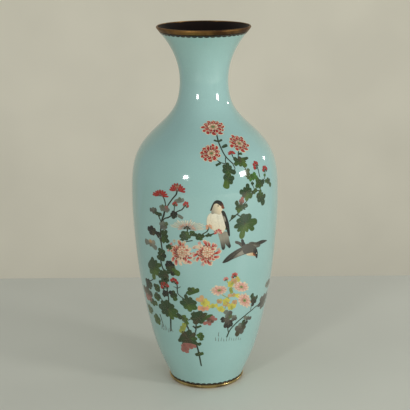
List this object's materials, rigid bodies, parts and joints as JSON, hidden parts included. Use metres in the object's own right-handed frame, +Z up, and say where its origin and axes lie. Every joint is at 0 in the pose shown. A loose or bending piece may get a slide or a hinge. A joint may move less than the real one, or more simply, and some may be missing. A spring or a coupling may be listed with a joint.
{
  "type": "vase",
  "caption": "Tall shouldered cloisonne enamel vase with a narrow neck, flared mouth, metal rims and picture cells of flowers and birds set in a plain ground.",
  "frame": {"origin": "centre of the foot ring's underside, on the surface the vase stands on", "axes": "+Z up along the vase's axis, -Y out of the front of the picture, +X to the right of the picture"},
  "size_m": [0.1852, 0.1852, 0.46],
  "materials": {
    "turquoise_enamel": "gloss",
    "black_enamel": "gloss",
    "lining_enamel": "gloss",
    "copper": "satin",
    "foot_brass": "polished",
    "rim_bronze": "satin",
    "wire": "satin",
    "red_enamel": "gloss",
    "cream_enamel": "gloss",
    "pink_enamel": "gloss",
    "green_enamel": "gloss",
    "light_green_enamel": "gloss",
    "yellow_enamel": "gloss",
    "grey_enamel": "gloss",
    "stem_enamel": "gloss"
  },
  "bodies": {
    "root": {"foot_ring": "foot_brass", "mouth_rim": "rim_bronze", "copper_lower_body": "copper", "copper_shoulder": "copper", "copper_neck": "copper", "base_plate": "copper", "base_enamel": "lining_enamel", "floor_enamel": "lining_enamel", "lining_enamel": "lining_enamel", "ground_enamel": "turquoise_enamel", "foot_border": "black_enamel", "mouth_border": "black_enamel", "foot_border_wire": "wire", "mouth_border_wire": "wire", "upper_leaf_tall": "green_enamel", "upper_leaf_shoulder": "green_enamel", "upper_leaf_middle": "light_green_enamel", "upper_leaf_edge": "light_green_enamel", "upper_leaf_broad": "green_enamel", "upper_leaf_right": "green_enamel", "upper_leaf_low": "green_enamel", "branch_leaf_large": "green_enamel", "upper_blossom_top": "red_enamel", "upper_blossom_left": "red_enamel", "upper_blossom_right": "red_enamel", "upper_bud_left": "red_enamel", "upper_bud_right": "red_enamel", "left_stem": "stem_enamel", "left_leaf_upper": "grey_enamel", "left_leaf_dark": "black_enamel", "left_leaf_brown": "black_enamel", "left_blossom_low": "red_enamel", "left_blossom_high": "red_enamel", "left_bud_outer": "red_enamel", "fan_leaf_left": "green_enamel", "fan_leaf_right": "green_enamel", "fan_blossom": "cream_enamel", "pair_blossom_left": "pink_enamel", "pair_blossom_right": "pink_enamel", "perched_bird": "cream_enamel", "perched_bird_wing": "black_enamel", "flying_bird": "grey_enamel", "middle_leaf_edge": "green_enamel", "middle_leaf_right": "green_enamel", "middle_leaf_low": "green_enamel", "middle_bud_left": "red_enamel", "lower_leaf_large": "green_enamel", "lower_stem": "stem_enamel", "centre_leaf_top": "green_enamel", "centre_leaf_spread": "green_enamel", "centre_leaf_round": "light_green_enamel", "centre_leaf_low": "green_enamel", "centre_stem": "stem_enamel", "pale_blossom_left": "pink_enamel", "pale_blossom_right": "pink_enamel", "pale_blossom_low": "pink_enamel", "yellow_leaf_spread": "yellow_enamel", "grey_leaf_high": "grey_enamel", "grey_leaf_right": "grey_enamel", "grey_leaf_low": "grey_enamel"}
  },
  "joints": []
}
